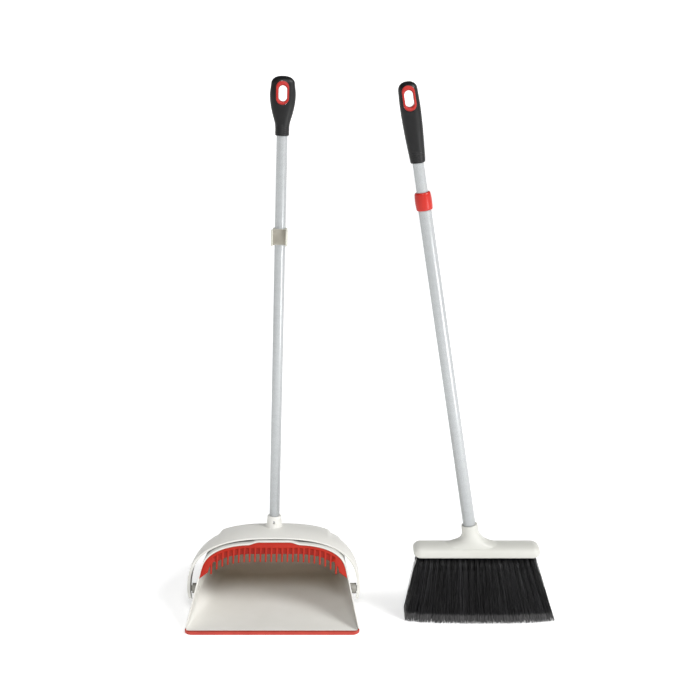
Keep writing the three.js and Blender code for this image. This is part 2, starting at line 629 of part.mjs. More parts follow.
function addBroom() {
  const group = new THREE.Group();
  add(group, 'broom_head', headShell(), shellWhite());
  add(group, 'tuft_plate', tuftPlate(), innerBlack());
  sides.forEach(([name, side]) => add(group, `head_screw_${name}`, headScrew(side), steel()));
  count(bristles.rows).forEach((row) => {
    add(group, `bristle_row_${row + 1}`, bristleRow(row), bristleBlack());
  });
  add(group, 'broom_outer_tube', outerTube(), aluminium());
  add(group, 'collet', collet(), innerBlack());
  add(group, 'twist_collar', twistCollar(), collarRed());
  add(group, 'broom_inner_tube', innerTube(), aluminium());
  add(group, 'inner_tube_bush', innerTubeBush(), innerBlack());
  const [radius, wall] = [broomPole.innerRadius, broomPole.wall];
  add(group, 'broom_grip_core', gripCore(broomGrip, radius, wall, broomFrame), innerBlack());
  add(group, 'broom_grip', gripSleeve(broomGrip, radius, broomFrame), gripBlack());
  add(group, 'broom_hang_ring', gripEyelet(broomGrip, broomFrame), softRed());
  dustpanAndBroom.add(group);
}

addPan();
addYoke();
addBroom();

export default dustpanAndBroom;
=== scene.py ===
"""Upright dustpan and long-handled broom: the looks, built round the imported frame.

Shapes are worked out in millimetres in the frame's own axes and turned into metres when a mesh is made.
"""
import math

import bmesh
import bpy
import numpy as np
from mathutils import Matrix, Vector


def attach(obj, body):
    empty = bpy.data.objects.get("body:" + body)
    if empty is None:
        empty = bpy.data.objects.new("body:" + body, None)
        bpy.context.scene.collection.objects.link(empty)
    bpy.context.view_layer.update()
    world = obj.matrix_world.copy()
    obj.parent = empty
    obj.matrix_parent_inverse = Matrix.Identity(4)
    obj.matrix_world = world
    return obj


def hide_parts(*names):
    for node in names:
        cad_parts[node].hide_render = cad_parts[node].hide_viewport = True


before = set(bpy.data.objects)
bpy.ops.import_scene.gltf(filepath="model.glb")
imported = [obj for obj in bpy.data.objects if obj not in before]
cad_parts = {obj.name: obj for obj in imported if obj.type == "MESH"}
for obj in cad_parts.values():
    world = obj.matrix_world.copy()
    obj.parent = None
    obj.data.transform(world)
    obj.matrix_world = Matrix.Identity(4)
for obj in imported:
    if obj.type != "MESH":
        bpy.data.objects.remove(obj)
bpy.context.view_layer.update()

MM = 0.001
GAP = 0.3  # clearance between neighbouring pieces, in millimetres
rng = np.random.default_rng(7)

CAMERA = dict(place=(0.1326, -2.0333, 1.0708), down=16, sensor=36, focal=1200, frame=694)
FLOOR = ((0.01, 0.0), (9.0, 0.0), (9.5, 0.08), (9.9, 0.35), (10.1, 0.9), (10.2, 2.6))

# ---------- driving dimensions, in millimetres ----------
PAN = dict(front=-134.0, back=88.0, run=1 / 1.23, half=156.4, taper=0.09, lean=0.196, hood=124.8, drop=18.0,
           wall=2.4, corner=93.0, power=2.56, share=0.3, under=110.0, tab=28.0, ramp=20.0, rise=3.6,
           tab_from=-5.0, tab_end=15.0, foot_front=5.0, foot_back=34.0, fillet=26.0)
LIP = dict(half=154.9, front=-141.0, height=6.0, corner=14.0, inner=7.0, wrap=2.6)
COMB = dict(behind=1.5, thick=3.0, band=12.0, web=3.4, border=4.5, sunk=2.1, teeth=24, pitch=9.8, length=18.5,
            rise=75.0, knee=85.5)
PIVOT = dict(y=-45.0, z=42.0, bore=5.3, pin=5.0, washer=9.6, recess=0.4)
YOKE = dict(shift=-1.2, half=157.4, power=2.6, below=19.0, tuck=3.0, arm=5.5, thick=(2.4, 4.5, 4.0),
            dome=107.0, edge=10.0, dome_rise=2.6, shoulder=4.2,
            foot=((-53, 46), (-45, 42), (-37, 38)), crown=((-26.3, 132.6), (7, 137), (40, 130)))
SOCKET = ((19, -25.5), (16.2, -22), (14.6, -18), (13.9, -12), (13.4, -6), (12.7, -1), (12.2, 0))
POLE = dict(x=-1.9, y=20.0, z=158.0, side=1.86, back=3.0, radius=9.5, wall=1.2, depth=24.0)
CLIP = dict(at=520.0, height=28.0, ring=12.8, jaw=11.4, outer=14.4, forward=24.0, mouth=72.0)
PAN_GRIP = dict(at=694.0, bore=45.0, dome=13.0, hole_at=72.5, ring=(11.0, 20.0), hole=(7.3, 13.3),
                stops=(0, 20, 38, 52, 69, 88), widths=(12, 12.9, 17.8, 20.8, 22.3, 20.4),
                depths=(12, 12.3, 13, 13, 12.4, 11))
GROOVES = [(4 + 3.6 * k, 3.0, 0.5) for k in range(5)]
HEAD = dict(x=364.0, y=-65.0, z=119.0, half=112.9, depth=23.5, lower=9.5, upper=13.5, end_run=14.0,
            end_round=11.0, straight=95.0, pocket=(106.3, 17.3, 7.7), neck_x=350.4, rim=178.0)
NECK = ((0, 14, 14, 1), (2, 14.4, 14.4, 1), (10, 14.6, 14.4, 0.95), (16, 15.4, 14.8, 0.8),
        (21, 17.5, 15.6, 0.6), (26, 21.5, 16.8, 0.35), (30, 27, 18, 0.1), (34, 37, 19, 0), (38, 52, 19.5, 0),
        (41, 66, 19.5, 0))
TUFTS = dict(top=(256.4, 471.0), bottom=(236.4, 507.4), depth_top=33.0, depth_bottom=76.0, rows=5,
             columns=21, hairs=84, tip=15.0)
BROOM = dict(lean=9.0, radius=11.1, wall=1.0, depth=34.0, end=585.0, inner=9.45, inner_start=95.0)
COLLAR = dict(at=571.0, height=30.0, lip=3.0)
BROOM_GRIP = dict(at=650.0, bore=48.0, dome=13.5, hole_at=105.0, ring=(10.4, 20.4), hole=(7.1, 13.5),
                  stops=(0, 32, 67, 97, 118), widths=(12.3, 14.6, 16.4, 16.7, 15.8),
                  depths=(12.1, 13.4, 14.2, 13.6, 12.4))


def around(count):
    """Angles spread evenly round a circle."""
    return np.linspace(0, 2 * math.pi, count, endpoint=False)


def ring_faces(a, b, size):
    """Faces between two rings of equal size whose points start at a and b."""
    return [(a + i, a + (i + 1) % size, b + (i + 1) % size, b + i) for i in range(size)]


# ---------- camera, floor and light ----------
def make_camera():
    """A camera that looks down on the set from in front of it."""
    camera = bpy.data.cameras.new("camera")
    camera.sensor_width = CAMERA["sensor"]
    camera.lens = CAMERA["sensor"] * CAMERA["focal"] / CAMERA["frame"]
    camera.clip_end = 50
    holder = bpy.data.objects.new("camera", camera)
    bpy.context.scene.collection.objects.link(holder)
    holder.location = CAMERA["place"]
    holder.rotation_euler = (math.radians(90 - CAMERA["down"]), 0, 0)
    bpy.context.scene.camera = holder


def area_light(name, place, target, size, power, shines=True):
    """A soft rectangular light; one that does not shine is seen only in reflections."""
    light = bpy.data.lights.new(name, "AREA")
    light.shape = "RECTANGLE"
    light.size, light.size_y = size
    light.energy = power
    holder = bpy.data.objects.new(name, light)
    bpy.context.scene.collection.objects.link(holder)
    holder.location = place
    aim = Vector(target) - Vector(place)
    holder.rotation_euler = aim.to_track_quat("-Z", "Y").to_euler()
    holder.visible_diffuse = shines


def make_studio():
    """A white bowl of a floor, a soft key light from the right, a weak fill and a strip to reflect."""
    scene = bpy.context.scene
    scene.view_settings.view_transform = "Standard"
    world = bpy.data.worlds.new("studio")
    world.use_nodes = True
    background = world.node_tree.nodes["Background"]
    background.inputs["Color"].default_value = (1, 1, 1, 1)
    background.inputs["Strength"].default_value = 0.22
    scene.world = world
    area_light("key", (3.0, -1.5, 3.0), (0.15, 0.0, 0.15), (1.5, 1.5), 118)
    area_light("fill", (0.25, -1.9, 2.2), (0.0, -0.05, 0.0), (0.8, 0.8), 26)
    area_light("strip", (1.7, -1.15, 0.3), (0.2, 0.0, 0.5), (0.3, 0.9), 11, shines=False)
    sides = 96
    angles = around(sides)
    points = [(r * math.cos(a) + 0.13, r * math.sin(a), z) for r, z in FLOOR for a in angles]
    faces = []
    for k in range(len(FLOOR) - 1):
        faces += ring_faces(k * sides, (k + 1) * sides, sides)
    mesh = bpy.data.meshes.new("floor")
    mesh.from_pydata(points, [], [tuple(range(sides))] + faces)
    mesh.polygons.foreach_set("use_smooth", [True] * len(mesh.polygons))
    floor = bpy.data.objects.new("floor", mesh)
    bpy.context.scene.collection.objects.link(floor)
    floor.data.materials.append(floor_material())


# ---------- materials ----------
def new_material(name):
    """A node material, with its nodes, links and shader."""
    material = bpy.data.materials.new(name)
    material.use_nodes = True
    nodes = material.node_tree.nodes
    return material, nodes, material.node_tree.links, nodes["Principled BSDF"]


def linear(srgb):
    """An sRGB colour from 0 to 255 as linear numbers."""
    shares = [c / 255 for c in srgb]
    return tuple(c / 12.92 if c <= 0.04045 else ((c + 0.055) / 1.055) ** 2.4 for c in shares) + (1,)


def add_node(nodes, kind, **values):
    """A shader node with some of its inputs set."""
    node = nodes.new("ShaderNode" + kind)
    set_inputs(node, **values)
    return node


def set_inputs(node, **values):
    """Sets a node's inputs by their names, with spaces written as underscores."""
    for name, value in values.items():
        node.inputs[name.replace("_", " ")].default_value = value


def map_range(nodes, links, value, to, start=(0.0, 1.0), smooth=False):
    """Carries one range of values over to another."""
    node = add_node(nodes, "MapRange", From_Min=start[0], From_Max=start[1], To_Min=to[0], To_Max=to[1])
    if smooth:
        node.interpolation_type = "SMOOTHSTEP"
    links.new(value, node.inputs["Value"])
    return node.outputs["Result"]


def floor_material():
    """White paper that glows a little, and more so far from the set, so that it stays white."""
    material, nodes, links, shader = new_material("studio_floor")
    noise = add_node(nodes, "TexNoise", Scale=3)
    ramp = nodes.new("ShaderNodeValToRGB")
    ramp.color_ramp.elements[0].color = (0.955, 0.955, 0.957, 1)
    ramp.color_ramp.elements[1].color = (0.965, 0.965, 0.965, 1)
    links.new(noise.outputs["Fac"], ramp.inputs["Fac"])
    links.new(ramp.outputs["Color"], shader.inputs["Base Color"])
    place = nodes.new("ShaderNodeTexCoord")
    away = nodes.new("ShaderNodeVectorMath")
    away.operation = "DISTANCE"
    away.inputs[1].default_value = (0.22, 0.0, 0.0)
    links.new(place.outputs["Object"], away.inputs[0])
    glow = map_range(nodes, links, away.outputs["Value"], (0.33, 0.7), (0.1, 1.1), smooth=True)
    links.new(glow, shader.inputs["Emission Strength"])
    set_inputs(shader, Emission_Color=(1, 1, 1, 1), Roughness=0.9, Specular_IOR_Level=0.1)
    return material


def textured(name, dark, light, scale, roughness, bump=0.05, bump_scale=900, stretch=(1, 1, 1), metal=0.0,
             coords="Object", deep=None, specular=0.5):
    """A surface whose colour, roughness and fine relief come from noise; given deep, shade is painted into
    the colour towards the inside's back and top.
    """
    material, nodes, links, shader = new_material(name)
    place = nodes.new("ShaderNodeTexCoord")
    mapping = add_node(nodes, "Mapping", Scale=stretch)
    links.new(place.outputs[coords], mapping.inputs["Vector"])
    broad = add_node(nodes, "TexNoise", Scale=scale, Detail=6)
    links.new(mapping.outputs["Vector"], broad.inputs["Vector"])
    colour = nodes.new("ShaderNodeValToRGB")
    for stop, position, tone in zip(colour.color_ramp.elements, (0.35, 0.65), (dark, light)):
        stop.position, stop.color = position, linear(tone)
    links.new(broad.outputs["Fac"], colour.inputs["Fac"])
    fine = add_node(nodes, "TexNoise", Scale=bump_scale, Detail=4)
    links.new(mapping.outputs["Vector"], fine.inputs["Vector"])
    links.new(map_range(nodes, links, fine.outputs["Fac"], roughness), shader.inputs["Roughness"])
    relief = add_node(nodes, "Bump", Strength=bump, Distance=0.0004)
    links.new(fine.outputs["Fac"], relief.inputs["Height"])
    links.new(relief.outputs["Normal"], shader.inputs["Normal"])
    finish = colour.outputs["Color"]
    # painted shade: the colour is darkened towards the inside's back and top
    if deep:
        finish = paint_inner_shade(nodes, links, place, finish, deep)
    links.new(finish, shader.inputs["Base Color"])
    set_inputs(shader, Metallic=metal, Specular_IOR_Level=specular)
    return material


def paint_inner_shade(nodes, links, place, colour, deep):
    """Paints shade into a colour: darker and warmer towards the inside's back and top."""
    inwards = nodes.new("ShaderNodeVectorMath")
    inwards.operation = "DOT_PRODUCT"
    inwards.inputs[1].default_value = (0.0, 1.0, 1.2)
    links.new(place.outputs["Object"], inwards.inputs[0])
    share = map_range(nodes, links, inwards.outputs["Value"], (0.0, 1.0), (0.03, 0.13), smooth=True)
    tint = nodes.new("ShaderNodeMix")
    tint.data_type = "RGBA"
    tint.inputs["A"].default_value = (1, 1, 1, 1)
    tint.inputs["B"].default_value = (*deep, 1)
    links.new(share, tint.inputs["Factor"])
    mix = nodes.new("ShaderNodeMix")
    mix.data_type = "RGBA"
    mix.blend_type = "MULTIPLY"
    mix.inputs["Factor"].default_value = 1.0
    links.new(colour, mix.inputs["A"])
    links.new(tint.outputs["Result"], mix.inputs["B"])
    return mix.outputs["Result"]


def bristle_material():
    """Black filaments whose cut ends are split and grey, each a little different."""
    material, nodes, links, shader = new_material("bristle")
    shade = nodes.new("ShaderNodeAttribute")
    shade.attribute_name = "shade"
    links.new(shade.outputs["Color"], shader.inputs["Base Color"])
    noise = add_node(nodes, "TexNoise", Scale=1500)
    links.new(map_range(nodes, links, noise.outputs["Fac"], (0.26, 0.42)), shader.inputs["Roughness"])
    set_inputs(shader, Specular_IOR_Level=0.35)
    return material


def make_materials():
    """Every finish of the set, by a short name."""
    return {
        "shell": textured("shell_plastic", (216, 215, 209), (221, 220, 215), 14, (0.42, 0.52), 0.06, 1400),
        # painted shade: the pan's inside darkens and warms towards its back and top
        "inside": textured("shell_inside_painted_shade", (225, 224, 218), (230, 229, 224), 14, (0.5, 0.6), 0.06, 1400,
                           deep=(0.6, 0.52, 0.44)),
        "head": textured("head_plastic", (193, 193, 186), (198, 198, 192), 14, (0.4, 0.5), 0.05, 1400),
        "clip": textured("clip_plastic", (184, 183, 171), (192, 191, 180), 30, (0.4, 0.52), 0.05, 1400),
        # painted shade: a dark finish for the bail's underside, standing in for the shade in the gap under it
        "painted_shade_underside": textured("shell_underside_painted_shade", (92, 88, 81), (100, 96, 89), 14, (0.5, 0.6), 0.06, 1400),
        # painted shade: a darker finish for the inner faces of the clip's jaws
        "jaw": textured("clip_jaw_painted_shade", (146, 142, 131), (154, 150, 139), 30, (0.45, 0.55), 0.05, 1400),
        "pivot": textured("pivot_plastic", (140, 138, 131), (156, 154, 147), 60, (0.4, 0.55), 0.08, 1600),
        "red": textured("soft_red", (166, 32, 14), (176, 38, 18), 40, (0.42, 0.56), 0.12, 2200, specular=0.2),
        # painted shade: a darker red for the floor of the band's sunk recess
        "red_recess_painted_shade": textured("soft_red_recess_painted_shade", (140, 25, 11), (150, 31, 15), 40, (0.5, 0.6), 0.12, 2200,
                             specular=0.2),
        "ring": textured("ring_red", (158, 24, 17), (170, 29, 21), 40, (0.3, 0.42), 0.06, 2200, specular=0.4),
        "lip": textured("lip_red", (174, 52, 38), (184, 60, 44), 40, (0.5, 0.65), 0.12, 2200),
        "collar": textured("collar_red", (166, 26, 14), (176, 31, 18), 30, (0.26, 0.36), 0.03, 1800,
                           specular=0.35),
        "grip": textured("grip_rubber", (5, 5, 6), (11, 11, 12), 90, (0.32, 0.42), 0.25, 2600, specular=0.3),
        "tube": textured("anodised_tube", (162, 165, 166), (174, 177, 178), 5, (0.24, 0.32), 0.015, 60,
                         stretch=(90, 1, 1), metal=0.4, coords="UV"),
        "inner": textured("inner_plastic", (34, 34, 37), (44, 44, 47), 60, (0.5, 0.65), 0.1, 1600),
        "steel": textured("screw_steel", (150, 152, 155), (176, 178, 180), 120, (0.25, 0.42), 0.1, 2400,
                          metal=1.0),
        "bristle": bristle_material(),
    }


# ---------- mesh kit ----------
def mesh_piece(name, points, faces, material):
    """A smooth-shaded object from points in millimetres."""
    mesh = bpy.data.meshes.new(name)
    mesh.from_pydata([tuple(p) for p in np.asarray(points) * MM], [], faces)
    mesh.validate()
    mesh.polygons.foreach_set("use_smooth", [True] * len(mesh.polygons))
    mesh.materials.append(material)
    piece = bpy.data.objects.new(name, mesh)
    bpy.context.scene.collection.objects.link(piece)
    return piece


def loft(rings, joined=False):
    """Points and faces of a skin over rings of equal size: capped, or its last ring joined to its first."""
    rings = np.asarray(rings, float)
    count, size = rings.shape[:2]
    points = rings.reshape(-1, 3)
    faces = []
    for r in range(count if joined else count - 1):
        faces += ring_faces(r * size, ((r + 1) % count) * size, size)
    if not joined:
        for ring, flip in ((0, True), (count - 1, False)):
            points, faces = add_cap(points, faces, ring * size, size, flip)
    return points, faces


def add_cap(points, faces, base, size, flip):
    """Closes a ring with a smaller ring inside it and a fan to its centre."""
    ring = points[base:base + size]
    centre = ring.mean(0)
    inner = len(points)
    points = np.vstack([points, centre + (ring - centre) * 0.96, centre])
    for i in range(size):
        j = (i + 1) % size
        side = (base + i, base + j, inner + j, inner + i)
        fan = (inner + i, inner + j, inner + size)
        faces = faces + [side[::-1], fan[::-1]] if flip else faces + [side, fan]
    return points, faces


def fix_normals(piece):
    """Turns a closed mesh's faces outwards."""
    work = bmesh.new()
    work.from_mesh(piece.data)
    bmesh.ops.recalc_face_normals(work, faces=work.faces)
    work.to_mesh(piece.data)
    work.free()
    return piece


def apply_modifiers(piece):
    """Keeps the shape that a piece's modifiers give it."""
    graph = bpy.context.evaluated_depsgraph_get()
    final = bpy.data.meshes.new_from_object(piece.evaluated_get(graph))
    piece.modifiers.clear()
    piece.data = final
    return piece


def boolean(piece, other, operation):
    """Joins another solid to a piece, or cuts it away, and removes the other."""
    change = piece.modifiers.new("join", "BOOLEAN")
    change.operation = operation
    change.solver = "EXACT"
    change.object = other
    apply_modifiers(piece)
    bpy.data.objects.remove(other)
    return piece


def settle(piece, body, slot_name, *nodes):
    """Fixes a finished piece to its body and hides the CAD nodes it stands for."""
    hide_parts(*nodes)
    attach(piece, body)
    return piece


def turned(profile, segments):
    """Rings of a lathe about +Z from (radius, height) points; every radius is above zero."""
    angles = around(segments)
    return [np.stack([r * np.cos(angles), r * np.sin(angles), np.full(segments, z)], 1) for r, z in profile]


def rounded_profile(profile, radius, steps=4):
    """Rounds the corners of a polyline of (radius, height) points."""
    points = [np.array(p, float) for p in profile]
    out = [points[0]]
    for before, here, after in zip(points, points[1:], points[2:]):
        a, b = before - here, after - here
        reach = min(radius, np.linalg.norm(a) * 0.45, np.linalg.norm(b) * 0.45)
        start = here + a / np.linalg.norm(a) * reach
        end = here + b / np.linalg.norm(b) * reach
        for t in np.linspace(0, 1, steps):
            out.append((1 - t) ** 2 * start + 2 * t * (1 - t) * here + t * t * end)
    return out + [points[-1]]


def closed_profile(profile, radius, steps=4):
    """Rounds every corner of a closed polyline."""
    whole = [profile[-1]] + list(profile) + [profile[0]]
    return rounded_profile(whole, radius, steps)[1:-1]


def placed(rings, matrix):
    """Moves millimetre rings by a 4x4 matrix."""
    m = np.array(matrix)
    return [np.asarray(r) @ m[:3, :3].T + m[:3, 3] for r in rings]


def solid(name, rings, material, joined=False):
    """A closed piece over rings."""
    return fix_normals(mesh_piece(name, *loft(rings, joined), material))


def rod(radius, low, high, matrix, material, segments=64, axis=0.5):
    """A round rod that cuts a bore; its ends are flat but for a tiny ring on the axis."""
    profile = [(axis, low), (radius, low), (radius, high), (axis, high)]
    return solid("bore", placed(turned(profile, segments), matrix), material)


POLE_FRAME = Matrix.Translation((POLE["x"], POLE["y"], POLE["z"])) @ Matrix.Rotation(
    math.radians(-POLE["back"]), 4, "X") @ Matrix.Rotation(math.radians(POLE["side"]), 4, "Y")
BROOM_FRAME = Matrix.Translation((HEAD["neck_x"], HEAD["y"], HEAD["rim"])) @ Matrix.Rotation(
    math.radians(-BROOM["lean"]), 4, "Y")


def smoothstep(x, low, high):
    """A soft step from 0 to 1."""
    t = np.clip((x - low) / (high - low), 0, 1)
    return t * t * (3 - 2 * t)


# ---------- the pan ----------
def pan_half(y, z):
    """Half the shell's outer width at a place and a height."""
    return PAN["half"] - PAN["taper"] * (y - PAN["front"]) - PAN["lean"] * z


def hood_height(y):
    """The hood's height, which drops towards the back."""
    return PAN["hood"] - PAN["drop"] * max(0.0, (y + 30) / 100) ** 2


def pan_ring(start, run, inset):
    """One ring of the shell on the plane y = start + run * z, moved in by an inset."""
    half_ring = []
    foot_share = smoothstep(start, -130, 20)
    foot = max(PAN["foot_front"] + (PAN["foot_back"] - PAN["foot_front"]) * foot_share - inset, 1.5)
    flat = pan_half(start, 0) - inset - foot
    for x in np.linspace(0, flat, 10)[:-1]:
        half_ring.append((x, inset))
    for turn in np.linspace(0, math.pi / 2, 12):
        z = inset + foot * (1 - math.cos(turn))
        half_ring.append((flat + foot * math.sin(turn) - (PAN["lean"] + PAN["taper"] * run) * z, z))
    top = hood_height(start + run * PAN["under"]) - inset
    rise = PAN["share"] * top
    shoulder = top - rise
    low = inset + foot
    for z in np.linspace(low, max(shoulder, low + 2), 9)[1:-1]:
        half_ring.append((pan_half(start + run * z, z) - inset, z))
    lift = PAN["rise"] * (1 - smoothstep(start + run * top, PAN["tab_from"], PAN["tab_end"]))
    turns = np.concatenate([np.linspace(0, 80, 26), np.linspace(82, 90, 9)]) * math.pi / 180
    for turn in turns:
        z = shoulder + rise * math.sin(turn) ** (2 / PAN["power"])
        across = PAN["corner"] * max(math.cos(turn), 0.0) ** (2 / PAN["power"])
        x = pan_half(start + run * z, z) - inset - PAN["corner"] + across
        half_ring.append((x, z + lift * (1 - smoothstep(x, PAN["tab"], PAN["tab"] + PAN["ramp"]))))
    last_x, last_z = half_ring[-1]
    half_ring += [(x, last_z) for x in np.linspace(last_x, 0, 6)[1:]]
    ring = half_ring + [(-x, z) for x, z in half_ring[-2:0:-1]]
    return np.array([(x, start + run * z, z) for x, z in ring])


def pan_stations(inset):
    """Rings from the leaning mouth to the upright back and round its fillet."""
    rings = [pan_ring(PAN["front"] + (PAN["back"] - PAN["front"]) * t, PAN["run"] * (1 - t), inset)
             for t in np.linspace(0, 1, 30)]
    fillet = PAN["fillet"] - inset
    for turn in np.linspace(0, math.pi / 2, 10)[1:]:
        inwards = inset + fillet * (1 - math.cos(turn))
        rings.append(pan_ring(PAN["back"] + fillet * math.sin(turn), 0, inwards))
    return rings


def make_pan(materials):
    """A thin moulding with a rounded rim, a bead along the floor's front edge and bores for the pins."""
    wall, run = PAN["wall"], PAN["run"]
    slope = math.hypot(1, run)
    rim = []
    for turn in np.linspace(0, math.pi, 7):
        back = wall / 2 * (1 - math.sin(turn)) * slope
        rim.append(pan_ring(PAN["front"] + back, run, wall / 2 * (1 - math.cos(turn))))
    outer, inner = pan_stations(0)[2:], pan_stations(wall)[2:]
    rings = outer[::-1] + rim + inner
    shell = solid("pan_shell_moulding", rings, materials["shell"])
    for side in (-1, 1):
        boolean(shell, pivot_bore(side, materials), "DIFFERENCE")
    boolean(shell, lip_room(materials), "DIFFERENCE")
    boolean(shell, floor_bead(materials), "UNION")
    shade_by_angle(shell, 34)
    # faces that look into the pan get the inside finish, with painted shade towards the back and top
    shell.data.materials.append(materials["inside"])
    for face in shell.data.polygons:
        if face.normal.dot(Vector((0, -0.02, 0.045)) - face.center) > 0:
            face.material_index = 1
    return settle(shell, "pan", "shell_white", "pan_shell")


def floor_bead(materials):
    """A low rounded rib that stiffens the floor's front edge."""
    front = PAN["front"]
    corners = [(front + 0.1, 1.0), (front + 0.1, 6.1), (front + 2.1, 6.1), (front + 2.1, 1.0)]
    section = closed_profile(corners, 0.9, 5)
    rings = [np.array([(x, y, z) for y, z in section]) for x in np.linspace(-151.2, 151.2, 21)]
    return solid("bead", rings, materials["shell"])


def front_outline(half, front, corner, level):
    """Half of a front edge with a round corner, from its side round to the middle."""
    bend = [(-half + corner * (1 - math.cos(a)), front + corner * (1 - math.sin(a)))
            for a in np.linspace(0, math.pi / 2, 16)]
    return [(-half, level)] + bend + [(x, front) for x in np.linspace(-half + corner, 0, 20)[1:]]


def mirrored(half):
    """Half an outline that ends on the middle, with its mirror image after it."""
    return half + [(-x, y) for x, y in half[-2::-1]]


def lip_room(materials):
    """The room at the shell's front corners that the lip strip wraps into."""
    half, front = LIP["half"] - LIP["wrap"] - GAP, PAN["front"]
    level = LIP["front"] + LIP["corner"] + GAP
    far_x, far_y = 160.0, -150.0
    outline = mirrored(front_outline(half, front, LIP["inner"], level))
    outline += [(far_x, level), (far_x, far_y), (-far_x, far_y), (-far_x, level)]
    points = [(x, y, z) for z in (-2.0, LIP["height"] + GAP) for x, y in outline]
    size = len(outline)
    faces = ring_faces(0, size, size) + [tuple(range(size))[::-1], tuple(range(size, 2 * size))]
    return fix_normals(mesh_piece("room", points, faces, materials["shell"]))


def make_lip(materials):
    """A soft strip with a round section, swept round the front edge and its corners."""
    level = LIP["front"] + LIP["corner"]
    outer = mirrored(front_outline(LIP["half"], LIP["front"], LIP["corner"], level + 0.01))
    inner = mirrored(front_outline(LIP["half"] - LIP["wrap"], PAN["front"] - GAP, LIP["inner"], level + 0.01))
    height = LIP["height"]
    rings = []
    for out, into in zip(np.array(outer), np.array(inner)):
        width = np.linalg.norm(into - out)
        section = closed_profile([(0, 0.0), (width, 0.0), (width, height - 0.4), (0, height)], 1.1, 5)
        rings.append(np.array([(*(out + (into - out) * d / width), z) for d, z in section]))
    strip = solid("lip_strip_soft", rings, materials["lip"])
    return settle(strip, "pan", "soft_red", "pan_lip_strip")


def comb_edges():
    """The hood's edge on the comb's plane, from its middle outwards: place, way outwards, tab's lift."""
    slope = math.hypot(1, PAN["run"])
    start, inset = PAN["front"] + COMB["behind"], PAN["wall"] + GAP
    ring = pan_ring(start, PAN["run"], inset)
    upper = ring[(ring[:, 2] > COMB["knee"] + 0.5) & (ring[:, 0] >= -1e-6)]
    heights = np.linspace(COMB["rise"], COMB["knee"], 8)
    wall = [(pan_half(start + PAN["run"] * z, z) - inset, 0, z) for z in heights]
    upper = np.vstack([upper, wall])
    upper = upper[np.argsort(upper[:, 0])]
    edge = np.stack([upper[:, 0], upper[:, 2] * slope], 1)
    flat = np.interp(PAN["tab"] + PAN["ramp"], edge[:, 0], edge[:, 1])
    lift = np.where(edge[:, 0] < PAN["tab"] + PAN["ramp"], edge[:, 1] - flat, 0.0)
    base = np.stack([edge[:, 0], edge[:, 1] - lift], 1)
    along = np.gradient(base, axis=0)
    along /= np.linalg.norm(along, axis=1)[:, None]
    return base, np.stack([-along[:, 1], along[:, 0]], 1), lift


def make_comb(materials):
    """A band under the hood's edge that runs down into end flaps, with ribs that turn into teeth."""
    slope = math.hypot(1, PAN["run"])
    start = PAN["front"] + COMB["behind"]
    up = np.array([0, PAN["run"], 1]) / slope
    into = np.array([0, 1, -PAN["run"]]) / slope
    base, outwards, lift = comb_edges()
    reach = (COMB["teeth"] - 1) / 2 * COMB["pitch"] + 3

    def place(x, m, depth):
        return np.array([x, start, 0]) + up * m + into * depth

    half = []
    for (x, m), way, high in zip(base, outwards, lift):
        step = COMB["sunk"] if x < reach else 0.1
        taper = (m / slope - COMB["rise"]) / (COMB["knee"] - COMB["rise"])
        band = COMB["band"] * min(1.0, max(0.04, taper))
        if x < reach:
            band += COMB["web"]
        border = min(COMB["border"], band * 0.5)
        profile = [(-high, 0.1), (border, 0.1), (border + min(0.7, band * 0.2), step), (band, step),
                   (band, COMB["thick"] - 0.1), (-high, COMB["thick"] - 0.1)]
        section = closed_profile(profile, 0.5, 4)
        half.append([(x - way[0] * max(s, 0), m - way[1] * max(s, 0) - min(s, 0), f) for s, f in section])
    left = [[(-x, m, f) for x, m, f in ring] for ring in half[:0:-1]]
    rings = [np.array([place(*p) for p in ring]) for ring in left + half]
    parts = [loft(rings)]
    lower = base - outwards * COMB["band"]
    angles = around(20)
    shape = np.stack([soft_power(np.cos(angles), 0.6), soft_power(np.sin(angles), 0.6)], 1)
    for i in range(COMB["teeth"]):
        x = (i - (COMB["teeth"] - 1) / 2) * COMB["pitch"]
        tilt = np.interp(abs(x), base[:, 0], outwards[:, 1])
        top = np.interp(abs(x), base[:, 0], base[:, 1]) - COMB["border"] / max(tilt, 0.5)
        length = top - np.interp(abs(x), lower[:, 0], lower[:, 1]) + COMB["length"]
        tooth = []
        for t in np.concatenate([np.linspace(0, 0.95, 14), [0.975, 0.99, 1.0]]):
            end = 1.0 if t < 0.96 else 0.88 if t < 0.98 else 0.6 if t < 1 else 0.2
            wide, deep = (2.1 - 0.8 * t) * end, (1.45 - 0.3 * t) * end
            down = top - length * t
            middle = COMB["thick"] / 2
            tooth.append(np.array([place(x + wide * a, down, middle + deep * b) for a, b in shape]))
        parts.append(loft(tooth))
    comb = merged_piece("comb_moulding", parts, materials["red"])
    # faces on the floor of the sunk recess get a darker red: painted shade in the recess
    comb.data.materials.append(materials["red_recess_painted_shade"])
    for face in comb.data.polygons:
        depth = (np.array(face.center) / MM - np.array([0, start, 0])) @ into
        if depth > 1.6 and np.array(face.normal) @ into < -0.7:
            face.material_index = 1
    shade_by_angle(comb, 50)
    return settle(comb, "pan", "soft_red", "bristle_comb")


def merged_piece(name, parts, material):
    """One piece from several closed skins."""
    points, faces, base = [], [], 0
    for part_points, part_faces in parts:
        points.append(np.asarray(part_points))
        faces += [tuple(base + i for i in face) for face in part_faces]
        base += len(part_points)
    return fix_normals(mesh_piece(name, np.vstack(points), faces, material))


def pivot_frame(side):
    """A pivot's own axes: +Z runs out of the pan."""
    return Matrix.Translation((0, PIVOT["y"], PIVOT["z"])) @ Matrix.Rotation(side * math.pi / 2, 4, "Y")


def pivot_bore(side, materials):
    """A rod through wall and arm that cuts both bores of one pivot."""
    low, high = pan_half(PIVOT["y"], PIVOT["z"]) - 8, YOKE["half"] + 8
    return rod(PIVOT["bore"], low, high, pivot_frame(side), materials["shell"], 48, 0.3)


